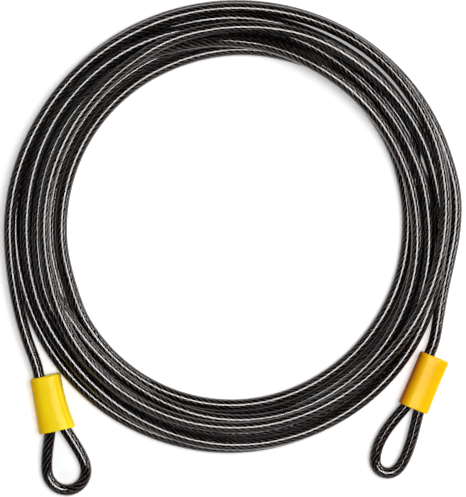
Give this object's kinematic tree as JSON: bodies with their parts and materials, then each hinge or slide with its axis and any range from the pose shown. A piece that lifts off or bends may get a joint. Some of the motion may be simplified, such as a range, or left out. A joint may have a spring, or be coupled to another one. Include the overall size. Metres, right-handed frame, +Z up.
{
  "type": "cable lock",
  "caption": "Long double-loop security cable, a wire rope in a smoky plastic jacket, coiled flat, with a ferruled teardrop eye under a yellow cover at each end.",
  "frame": {"origin": "on the floor, under the middle of the whole object as it lies coiled", "axes": "+Z up out of the floor; both end eyes point towards -Y; +X to the right when the eyes are nearest the viewer"},
  "size_m": [0.3705, 0.4017, 0.03],
  "materials": {
    "jacket": "smoky, almost black translucent vinyl, gloss",
    "wire_rope": "galvanised steel strands",
    "ferrule": "plain, crimped",
    "left_cover": "bright yellow moulded vinyl",
    "right_cover": "warm yellow moulded vinyl"
  },
  "bodies": {
    "root": {"coil": "jacket", "left_tail_jacket": "jacket", "left_tail_rope": "wire_rope", "left_eye_jacket": "jacket", "left_eye_rope": "wire_rope", "right_tail_jacket": "jacket", "right_tail_rope": "wire_rope", "right_eye_jacket": "jacket", "right_eye_rope": "wire_rope", "left_ferrule": "ferrule", "left_cover": "left_cover", "right_ferrule": "ferrule", "right_cover": "right_cover"}
  },
  "joints": []
}
